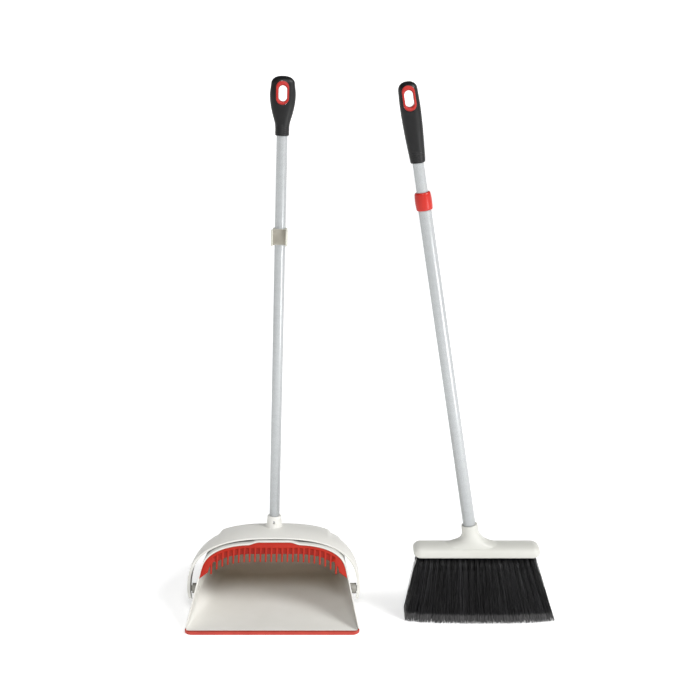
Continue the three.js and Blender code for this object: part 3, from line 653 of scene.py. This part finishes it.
def turned_pivot(node, near, far, side, inset, materials, joined=False):
    """A turned piece: near rings lie on the leaning wall, less an inset, and far rings at given heights."""
    rings = placed(turned([(r, 0) for r, _ in near] + far, 48), pivot_frame(side))
    for ring, (_, free) in zip(rings, near):
        ring[:, 0] = side * (pan_half(ring[:, 1], ring[:, 2]) - inset + free)
    piece = solid(node + "_turned", rings, materials["pivot"], joined)
    shade_by_angle(piece, 45)
    settle(piece, "pan", "pivot_grey", node)


def make_pivots(materials):
    """Stub pins that run through wall and arm, and the washers between the two."""
    pin, washer, bore = PIVOT["pin"], PIVOT["washer"], PIVOT["bore"]
    tucked = YOKE["tuck"] * (washer / YOKE["below"]) ** 2
    end = YOKE["half"] - abs(YOKE["shift"])
    high = end - YOKE["arm"] - tucked - GAP
    pin_near = [(0.3, 0.01), (pin - 0.5, 0.01), (pin, 0.5)]
    pin_far = [(pin, end - 1.5), (pin - 0.5, end - 1), (0.3, end - 1)]
    near = [(bore, 0.5), (bore + 0.4, 0.3), (washer - 0.5, 0.3), (washer, 0.8)]
    far = [(washer, high - 0.6), (washer - 0.6, high), (bore + 0.4, high), (bore, high - 0.4)]
    for side, name in ((-1, "left"), (1, "right")):
        turned_pivot(f"pivot_pin_{name}", pin_near, pin_far, side, PAN["wall"] - PIVOT["recess"], materials)
        turned_pivot(f"pivot_washer_{name}", near, far, side, 0, materials, joined=True)


# ---------- the yoke ----------
def yoke_point(turn, across, inner, below=0.0):
    """A point of the yoke: turn runs over the arch, across runs from the front edge to the rear.

    The crown's rear stands up as a shallow dome that ends in a step above each arm.
    """
    cosine = math.cos(turn)
    x = math.copysign(abs(cosine) ** (2 / YOKE["power"]), cosine)
    rise = abs(math.sin(turn)) ** (2 / YOKE["power"])
    feet, crowns = np.array(YOKE["foot"]), np.array(YOKE["crown"])
    edges = [f + (c - f) * rise for f, c in zip(feet, crowns)]
    weights = ((across ** 2 - across) / 2, 1 - across ** 2, (across ** 2 + across) / 2)
    here = sum(w * e for w, e in zip(weights, edges))
    share = below / YOKE["below"]
    narrow = math.sqrt(max(1 - share ** 2, 0.02))
    here = edges[1] + (here - edges[1]) * narrow - below * np.array([0.485, 0.875])
    thick = sum(w * t for w, t in zip(weights, YOKE["thick"]))
    half = YOKE["half"] - YOKE["tuck"] * share ** 2 - inner * YOKE["arm"]
    away = abs(YOKE["half"] * x)
    step = 1 - smoothstep(away, YOKE["dome"] - YOKE["edge"], YOKE["dome"])
    dome = YOKE["dome_rise"] + YOKE["shoulder"] * (away / YOKE["dome"]) ** 2
    dome = dome * step * ((across + 1) / 2) ** 1.5
    return (YOKE["shift"] + half * x, here[0], here[1] + dome - inner * thick * rise)


def yoke_ring(turn, below):
    """A flat band's section with round edges."""
    spread = np.sin(np.linspace(-math.pi / 2, math.pi / 2, 17))
    outer = [yoke_point(turn, a, 0.0, below) for a in spread[1:-1]]
    inner = [yoke_point(turn, a, 1.0, below) for a in spread[1:-1]][::-1]
    front = [yoke_point(turn, -1.0, f, below) for f in (0.75, 0.5, 0.25)]
    rear = [yoke_point(turn, 1.0, f, below) for f in (0.25, 0.5, 0.75)]
    return np.array(outer + rear + inner + front)


def make_yoke(materials):
    """The bail: two arms and a crown in one band, joined to the pole's socket."""
    feet = np.sin(np.linspace(math.pi / 2, 0, 10)[:-1]) * YOKE["below"]
    turns = np.linspace(0, math.pi, 181)
    rings = [yoke_ring(0, b) for b in feet] + [yoke_ring(t, 0) for t in turns]
    rings += [yoke_ring(math.pi, b) for b in feet[::-1]]
    yoke = solid("yoke_moulding", rings, materials["shell"])
    base = SOCKET[0][1]
    radii, depths = [r for r, _ in SOCKET[::-1]], [-z for _, z in SOCKET[::-1]]
    flare = [(smooth_value(-z, depths, radii), z) for z in np.linspace(base, -1, 34)]
    flare = [(0.5, base)] + flare + [(12.2, -0.4), (11.8, 0), (0.5, 0)]
    boolean(yoke, solid("socket", placed(turned(flare, 72), POLE_FRAME), materials["shell"]), "UNION")
    bore = rod(POLE["radius"] + GAP, -POLE["depth"], 5, POLE_FRAME, materials["shell"])
    boolean(yoke, bore, "DIFFERENCE")
    boolean(yoke, screw_slot(materials), "DIFFERENCE")
    for side in (-1, 1):
        boolean(yoke, pivot_bore(side, materials), "DIFFERENCE")
    shade_by_angle(yoke, 38)
    # faces that look in under the arch get a dark finish: painted shade under the bail
    yoke.data.materials.append(materials["painted_shade_underside"])
    for face in yoke.data.polygons:
        inwards = Vector((0, 0.02, 0.06)) - face.center
        face.material_index = int(face.normal.dot(inwards.normalized()) > 0.6)
    return settle(yoke, "yoke", "shell_white", "yoke")


def screw_slot(materials):
    """The upright slot in the socket's front that the screw sits in."""
    outline = [(1.7 * math.cos(a), 3.2 * math.sin(a)) for a in around(24)]
    rings = [np.array([(x, y, z - 10) for x, z in outline]) for y in (-20, -10.2)]
    return solid("slot", placed(rings, POLE_FRAME), materials["shell"])


def shade_by_angle(piece, degrees):
    """Smooth shading, with hard edges where faces meet at more than an angle."""
    mesh = piece.data
    mesh.polygons.foreach_set("use_smooth", [True] * len(mesh.polygons))
    mesh.set_sharp_from_angle(angle=math.radians(degrees))


# ---------- tubes, collar and clip ----------
def make_tube(node, ending, body, pole, radius, low, high, material):
    """A drawn tube with rounded ends, its texture laid round and along it."""
    wall, sides = pole["wall"], 72
    corners = [(radius, low), (radius, high), (radius - wall, high), (radius - wall, low)]
    profile = closed_profile(corners, 0.4)
    rings = placed(turned(profile, sides), POLE_FRAME if pole is POLE else BROOM_FRAME)
    tube = solid(f"{node}_{ending}", rings, material, joined=True)
    layer = tube.data.uv_layers.new(name="UVMap")
    for loop in tube.data.loops:
        ring, spot = divmod(loop.vertex_index, sides)
        layer.data[loop.index].uv = (spot / sides, profile[ring][1] * MM)
    return settle(tube, body, "aluminium_tube", node)


def make_tubes(materials):
    """The dustpan's pole, and the broom's outer and inner tubes."""
    pan_end, broom_end = (grip["at"] + grip["bore"] - 5 for grip in (PAN_GRIP, BROOM_GRIP))
    tubes = (
        ("dustpan_pole", "tube", "yoke", POLE, POLE["radius"], GAP - POLE["depth"], pan_end),
        ("broom_outer_tube", "drawn", "broom", BROOM, BROOM["radius"], GAP - BROOM["depth"], BROOM["end"]),
        ("broom_inner_tube", "drawn", "upper_pole", BROOM, BROOM["inner"], BROOM["inner_start"], broom_end))
    for tube in tubes:
        make_tube(*tube, materials["tube"])


def make_collar(materials):
    """The barrel-shaped collar that locks the inner tube."""
    low, high = COLLAR["at"], COLLAR["at"] + COLLAR["height"]
    wide, close = BROOM["radius"] + GAP, BROOM["inner"] + GAP
    outside = [(12.6, 0.1), (13.2, 0.6), (13.6, 2), (14.0, 6), (14.2, 11), (14.25, 16), (14.1, 21),
               (13.8, 25), (13.3, 28), (12.7, 29.4), (11.9, 29.9)]
    profile = [(r, low + z) for r, z in outside]
    profile += [(close + 0.8, high), (close, high - 0.6), (close, high - COLLAR["lip"]),
                (wide, high - COLLAR["lip"]), (wide, low + 0.6), (wide + 0.6, low)]
    rings = placed(turned(profile, 96), BROOM_FRAME)
    collar = solid("twist_collar_moulding", rings, materials["collar"], joined=True)
    shade_by_angle(collar, 50)
    return settle(collar, "collar", "collar_red", "twist_collar")


def clip_outline():
    """The clip from above: a ring behind, and two jaws that open forwards."""
    ring, outer, inner, forward = CLIP["ring"], CLIP["outer"], CLIP["jaw"], CLIP["forward"]
    waist = 9.0
    start = math.asin(waist / ring)
    back = [(ring * math.sin(a), -ring * math.cos(a)) for a in np.linspace(start, 2 * math.pi - start, 48)]
    meet = math.asin(waist / outer)
    tip = math.pi - math.radians(CLIP["mouth"])
    left = [(-outer * math.sin(a), -forward + outer * math.cos(a)) for a in np.linspace(meet, tip, 26)]
    middle = (inner + outer) / 2
    nose = (outer - inner) / 2
    centre = (-middle * math.sin(tip), -forward + middle * math.cos(tip))
    round_tip = []
    for a in np.linspace(0, math.pi, 9)[1:-1]:
        radial = np.array([-math.sin(tip), math.cos(tip)])
        ahead = np.array([-math.cos(tip), -math.sin(tip)])
        round_tip.append(tuple(np.array(centre) + nose * (math.cos(a) * radial + math.sin(a) * ahead)))
    inside = [(-inner * math.sin(a), -forward + inner * math.cos(a)) for a in np.linspace(tip, 0, 26)]
    half = left + round_tip + inside
    return back, mirrored(half)


def make_clip(materials):
    """The clip: its outline from above, raised to its height with rounded edges."""
    back, front = clip_outline()
    edge = 0.7
    loop = back[::-1] + front[::-1]
    curve = bpy.data.curves.new("clip", "CURVE")
    curve.dimensions = "2D"
    curve.fill_mode = "BOTH"
    curve.extrude = (CLIP["height"] / 2 - edge) * MM
    curve.bevel_depth = edge * MM
    curve.bevel_resolution = 3
    curve.offset = -edge * MM
    bore = POLE["radius"] + GAP
    hole = [(bore * math.cos(a), bore * math.sin(a)) for a in around(64)]
    for outline in (loop, hole):
        spline = curve.splines.new("POLY")
        spline.points.add(len(outline) - 1)
        for spot, (x, y) in zip(spline.points, outline):
            spot.co = (x * MM, y * MM, 0, 1)
        spline.use_cyclic_u = True
    holder = bpy.data.objects.new("clip_curve", curve)
    bpy.context.scene.collection.objects.link(holder)
    bpy.context.view_layer.update()
    mesh = bpy.data.meshes.new_from_object(holder.evaluated_get(bpy.context.evaluated_depsgraph_get()))
    bpy.data.objects.remove(holder)
    clip = bpy.data.objects.new("pole_clip_moulding", mesh)
    bpy.context.scene.collection.objects.link(clip)
    mesh.materials.clear()
    mesh.materials.append(materials["clip"])
    # the inner faces of the jaws get a darker finish: painted shade inside the clip
    mesh.materials.append(materials["jaw"])
    for face in mesh.polygons:
        from_jaw = math.hypot(face.center.x, face.center.y + CLIP["forward"] * MM)
        face.material_index = int(from_jaw < (CLIP["jaw"] + GAP) * MM and abs(face.normal.z) < 0.5)
    move = POLE_FRAME @ Matrix.Translation((0, 0, CLIP["at"]))
    mesh.transform(Matrix.Scale(MM, 4) @ move @ Matrix.Scale(1 / MM, 4))
    shade_by_angle(clip, 40)
    return settle(fix_normals(clip), "yoke", "clip_grey", "pole_clip")


# ---------- grips ----------
def grip_rings(grip):
    """Rings of a soft grip, with shallow curved grooves near its foot."""
    fine, coarse = np.arange(2.2, 30, 0.45), np.arange(30, grip["stops"][-1], 1.6)
    steps = np.concatenate([[0, 0.15, 0.5, 1.0, 1.6], fine, coarse])
    angles = around(128)
    cosine, sine = soft_power(np.cos(angles), 0.9), soft_power(np.sin(angles), 0.9)
    rings = []
    for s in steps:
        w = smooth_value(s, grip["stops"], grip["widths"])
        d = smooth_value(s, grip["stops"], grip["depths"])
        edge = 1.4 * max(0.0, 1 - s / 1.6) ** 2
        groove = np.zeros(len(angles))
        for start, bend, deep in GROOVES:
            middle = start - bend * (cosine ** 2)
            groove += deep * np.exp(-((s - middle) / 0.75) ** 2) * smoothstep(np.abs(sine), 0.35, 0.75)
        x = (w - edge - groove) * cosine
        y = (d - edge - groove) * sine
        rings.append(np.stack([x, y, np.full(len(angles), grip["at"] + s)], 1))
    w, d = grip["widths"][-1], grip["depths"][-1]
    for turn in np.linspace(0, 1, 16)[1:] * math.radians(86):
        z = grip["at"] + grip["stops"][-1] + grip["dome"] * math.sin(turn)
        share = math.cos(turn) ** 0.85
        rings.append(np.stack([w * share * cosine, d * share * sine, np.full(len(angles), z)], 1))
    return rings


def smooth_value(s, stops, values):
    """A smooth curve through a few stops."""
    stops, values = np.array(stops, float), np.array(values, float)
    slopes = np.gradient(values, stops)
    k = int(np.clip(np.searchsorted(stops, s) - 1, 0, len(stops) - 2))
    gap = stops[k + 1] - stops[k]
    t = np.clip((s - stops[k]) / gap, 0, 1)
    return ((2 * t ** 3 - 3 * t ** 2 + 1) * values[k] + (t ** 3 - 2 * t ** 2 + t) * gap * slopes[k]
            + (3 * t ** 2 - 2 * t ** 3) * values[k + 1] + (t ** 3 - t ** 2) * gap * slopes[k + 1])


def stadium_points(half_width, half_height):
    """An upright outline with two straight sides and half-round ends."""
    straight = half_height - half_width
    angles = np.linspace(0, math.pi, 24)
    top = [(half_width * math.cos(a), straight + half_width * math.sin(a)) for a in angles]
    return top + [(-x, -z) for x, z in top]


def stadium_bar(half_width, half_height, depth, height, matrix, material):
    """A bar that cuts a hang hole."""
    rings = [np.array([(x, y, height + z) for x, z in stadium_points(half_width, half_height)])
             for y in (-depth, depth)]
    return solid("bar", placed(rings, matrix), material)


def make_grip(name, grip, radius, matrix, body, node, materials):
    """A soft grip with a blind bore for its tube and a hang hole."""
    piece = solid(name, placed(grip_rings(grip), matrix), materials["grip"])
    cutter = rod(radius + GAP, grip["at"] - 3, grip["at"] + grip["bore"], matrix, materials["grip"])
    boolean(piece, cutter, "DIFFERENCE")
    height = grip["at"] + grip["hole_at"]
    bar = stadium_bar(grip["ring"][0] + 0.25, grip["ring"][1] + 0.25, 30, height, matrix, materials["grip"])
    boolean(piece, bar, "DIFFERENCE")
    shade_by_angle(piece, 40)
    return settle(piece, body, "grip_black", node)


def make_ring(name, grip, matrix, body, node, materials):
    """The moulded ring that lines a hang hole: flared at both faces and narrow in the middle."""
    height = grip["at"] + grip["hole_at"]
    local = [smooth_value(min(grip["hole_at"] + dz, grip["stops"][-1]), grip["stops"], grip["depths"])
             for dz in (-grip["ring"][1], grip["ring"][1])]
    face = min(local[0], local[1]) + 0.2
    outer, inner = grip["ring"], grip["hole"]
    profile = [(0.0, -face), (0.0, face), (0.35, face + 0.5), (0.7, face + 0.5), (0.92, face - 1.2),
               (1.0, face - 4), (1.0, -face + 4), (0.92, -face + 1.2), (0.7, -face - 0.5),
               (0.35, -face - 0.5)]
    rings = []
    for share, y in profile:
        half_width = outer[0] + (inner[0] - outer[0]) * share
        half_height = outer[1] + (inner[1] - outer[1]) * share
        outline = stadium_points(half_width, half_height)
        rings.append(np.array([(x, y, height + z - share) for x, z in outline]))
    piece = solid(name, placed(rings, matrix), materials["ring"], joined=True)
    shade_by_angle(piece, 60)
    return settle(piece, body, "soft_red", node)


# ---------- the broom's head ----------
def soft_power(value, power):
    """A power that keeps the sign."""
    return np.sign(value) * np.abs(value) ** power


def make_head(materials):
    """The block and its flared neck, with a bore for the tube and a pocket for the tuft plate."""
    angles = around(72)

    def section(x, inset):
        y = HEAD["y"] + (HEAD["depth"] - inset) * soft_power(np.cos(angles), 0.8)
        upper = (HEAD["upper"] - inset) * np.sin(angles)
        lower = (HEAD["lower"] - inset) * soft_power(np.sin(angles), 0.45)
        z = HEAD["z"] + HEAD["lower"] + np.where(np.sin(angles) > 0, upper, lower)
        return np.stack([np.full(len(angles), HEAD["x"] + x), y, z], 1)

    bends = [math.radians(a) for a in np.linspace(5, 90, 16)]
    end = [(HEAD["half"] - HEAD["end_run"] * (1 - math.cos(b)), HEAD["end_round"] * (1 - math.sin(b)))
           for b in bends]
    middle = np.linspace(-HEAD["straight"], HEAD["straight"], 25)
    rings = [section(-x, i) for x, i in end] + [section(x, 0) for x in middle]
    rings += [section(x, i) for x, i in end[::-1]]
    head = solid("broom_head_moulding", rings, materials["head"])
    neck = []
    stops = np.array([n[0] for n in NECK], float)
    for below in np.concatenate([[0, 0.4, 1.0], np.linspace(2, 41, 42)]):
        w, d, share = [smooth_value(below, stops, [n[k] for n in NECK]) for k in (1, 2, 3)]
        w, d = (w - 0.4, d - 0.4) if below == 0 else (w, d)
        centre = BROOM_FRAME @ Vector((0, 0, -below))
        place = Matrix.Translation(centre) @ Matrix.Rotation(math.radians(-BROOM["lean"] * share), 4, "Y")
        neck += placed([np.stack([w * np.cos(angles), d * np.sin(angles), np.zeros(len(angles))], 1)], place)
    boolean(head, solid("neck", neck, materials["head"]), "UNION")
    bore = rod(BROOM["radius"] + GAP, -BROOM["depth"], 5, BROOM_FRAME, materials["head"])
    boolean(head, bore, "DIFFERENCE")
    half_x, half_y, deep = HEAD["pocket"]
    pocket = rounded_slab(half_x, half_y, HEAD["z"] - 5, HEAD["z"] + deep, materials["head"])
    boolean(head, pocket, "DIFFERENCE")
    shade_by_angle(head, 40)
    return settle(head, "broom", "shell_white", "broom_head")


def rounded_slab(half_x, half_y, low, high, material):
    """A slab under the block with round corners."""
    corner = 8.3
    outline = []
    for sx, sy, start in ((1, 1, 0), (-1, 1, 0.5), (-1, -1, 1), (1, -1, 1.5)):
        for a in np.linspace(start, start + 0.5, 8) * math.pi:
            outline.append((HEAD["x"] + sx * (half_x - corner) + corner * math.cos(a),
                            HEAD["y"] + sy * (half_y - corner) + corner * math.sin(a)))
    rings = [np.array([(x, y, z) for x, y in outline]) for z in (low, high)]
    return solid("slab", rings, material)


# ---------- bristles ----------
def make_bristles(materials):
    """Thousands of filaments in tufts, fanned towards the floor, with split grey tips, and light and shade
    painted into their tones.
    """
    left_top, right_top = TUFTS["top"]
    left_low, right_low = TUFTS["bottom"]
    middle, half_low = (left_low + right_low) / 2, (right_low - left_low) / 2
    for row in range(TUFTS["rows"]):
        points, faces, shades = [], [], []
        row_share = (row + 0.5) / TUFTS["rows"]
        columns = TUFTS["columns"] + (row % 2)
        tones = rng.uniform(0.55, 1.5, columns)
        for hair in range(columns * TUFTS["hairs"]):
            column = hair % columns
            loose = rng.uniform() < 0.3
            share = rng.uniform(0, 1) if loose else (column + 0.5) / columns
            angle, reach = rng.uniform(0, 2 * math.pi), math.sqrt(rng.uniform(0, 1))
            # painted light and shade: hairs in a tuft's middle are lighter and those at its edge darker,
            # loose hairs between tufts are dark, and rows further back are darker; the random tone per tuft
            # and per hair is the filaments' own
            tone = (0.4 if loose else tones[column] * (2.8 - 2.2 * reach)) * (1.15 - 0.8 * row_share)
            off_x, off_y = reach * math.cos(angle), reach * math.sin(angle)
            root_x = left_top + 3.2 + (right_top - left_top - 6.4) * share + off_x * 2.8
            root_y = HEAD["y"] + (TUFTS["depth_top"] - 7) * (row_share - 0.5) * 1.25 + off_y * 2.8
            foot_x = left_low + (right_low - left_low) * share + off_x * 10 + rng.normal(0, 3.2)
            foot_x = min(max(foot_x, left_low + 0.6), right_low - 0.6)
            side = abs(foot_x - middle) / half_low
            limit = TUFTS["depth_bottom"] / 2 - 1 - 11 * side ** 3
            foot_y = 2 * limit * (row_share - 0.5) + off_y * 8 + rng.normal(0, 1.4)
            foot_y = HEAD["y"] + min(max(foot_y, -limit), limit)
            # painted glints: a few hairs are made much lighter to stand in for highlights
            glint = 2.6 if rng.uniform() < 0.03 else 1.0
            add_filament(points, faces, shades, (root_x, root_y), (foot_x, foot_y, abs(rng.normal(0, 0.7))),
                         tone * glint * rng.uniform(0.7, 1.35))
        piece = mesh_piece(f"bristle_tufts_{row + 1}", np.array(points), faces, materials["bristle"])
        colours = piece.data.color_attributes.new("shade", "FLOAT_COLOR", "POINT")
        colours.data.foreach_set("color", np.array(shades, np.float32).reshape(-1))
        settle(piece, "broom", "bristle_black", f"bristle_row_{min(row + 1, 4)}")


def add_filament(points, faces, shades, root, foot, tone):
    """One bristle: a thin three-sided rod, bowed a little, that turns grey just above its tip."""
    base = len(points)
    sides = 3
    top = HEAD["z"] + 0.5
    bow = rng.normal(0, 1.0)
    thick = rng.uniform(0.26, 0.36)
    grey_from = 1 - (TUFTS["tip"] + rng.normal(0, 0.8)) / HEAD["z"]
    stations = (0.0, 0.25, 0.5, 0.75, grey_from - 0.012, grey_from + 0.012, 0.96, 1.0)
    for t in stations:
        x = root[0] + (foot[0] - root[0]) * t ** 1.04 + bow * math.sin(math.pi * t)
        y = root[1] + (foot[1] - root[1]) * t ** 1.04 + bow * math.cos(3 * bow) * math.sin(math.pi * t)
        z = top + (foot[2] - top) * t
        grey = 1.0 if t > grey_from else 0.0
        radius = thick * (1.0 + 0.35 * grey) * (0.6 if t == 1 else 1.0)
        for turn in range(sides):
            a = turn * 2 * math.pi / sides + bow
            points.append((x + radius * math.cos(a), y + radius * math.sin(a), z))
        value = 0.095 * (0.6 + 0.4 * min(tone, 2)) if grey else 0.006 * tone
        shades += [[value, value * 0.985, value * (1.12 - 0.12 * grey), 1.0]] * sides
    levels = len(stations)
    for level in range(levels - 1):
        faces += ring_faces(base + level * sides, base + (level + 1) * sides, sides)
    faces.append(tuple(base + i for i in range(sides))[::-1])
    faces.append(tuple(base + (levels - 1) * sides + i for i in range(sides)))


# ---------- carried-over CAD pieces ----------
def finish_inner_pieces(materials):
    """Pieces that stay as the frame has them get a finish of their own."""
    looks = {"steel": ("pole_screw", "head_screw_left", "head_screw_right"),
             "inner": ("dustpan_pole_plug", "dustpan_grip_core", "tuft_plate", "collet", "inner_tube_bush",
                       "broom_grip_core")}
    for look, nodes in looks.items():
        for node in nodes:
            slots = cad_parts[node].data.materials
            slots.clear()
            slots.append(materials[look])


make_camera()
make_studio()
MATERIALS = make_materials()
make_pan(MATERIALS)
make_lip(MATERIALS)
make_comb(MATERIALS)
make_pivots(MATERIALS)
make_yoke(MATERIALS)
make_tubes(MATERIALS)
make_clip(MATERIALS)
make_collar(MATERIALS)
for item, shape, tube, place, body in (("dustpan", PAN_GRIP, POLE["radius"], POLE_FRAME, "yoke"),
                                       ("broom", BROOM_GRIP, BROOM["inner"], BROOM_FRAME, "upper_pole")):
    make_grip(f"{item}_grip_moulding", shape, tube, place, body, f"{item}_grip", MATERIALS)
    make_ring(f"{item}_hang_ring_moulding", shape, place, body, f"{item}_hang_ring", MATERIALS)
make_head(MATERIALS)
make_bristles(MATERIALS)
finish_inner_pieces(MATERIALS)
